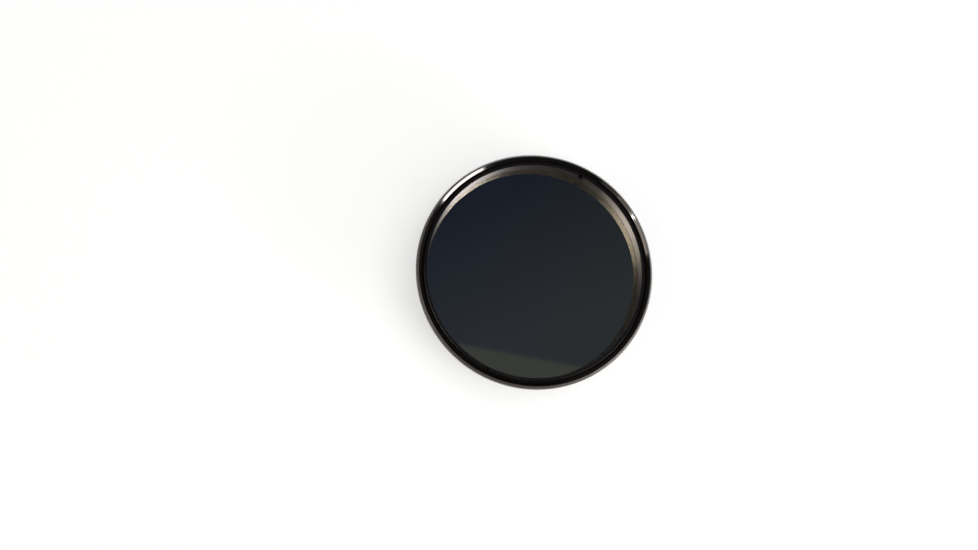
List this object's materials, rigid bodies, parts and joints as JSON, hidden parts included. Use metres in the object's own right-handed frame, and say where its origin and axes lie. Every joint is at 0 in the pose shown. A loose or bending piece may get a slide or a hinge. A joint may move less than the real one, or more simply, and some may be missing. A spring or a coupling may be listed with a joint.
{
  "type": "telescope filter",
  "caption": "Round light filter for a telescope eyepiece: a dark coated glass disc held in a knurled, threaded metal cell by a slotted retaining ring.",
  "frame": {"origin": "centre of the lower end face of the rear thread, on the light path", "axes": "+Z along the light path, from the rear thread to the slotted ring; +Y through one of the two spanner slots"},
  "size_m": [0.0504, 0.0504, 0.0088],
  "materials": {
    "anodised_cell": "turned, knurled and black anodised, satin",
    "coated_glass": "polished, interference coated, nearly opaque and mirror-like",
    "anodised_ring": "turned and black anodised, half gloss"
  },
  "bodies": {
    "root": {"filter_cell": "anodised_cell", "filter_glass": "coated_glass", "retaining_ring": "anodised_ring"}
  },
  "joints": []
}
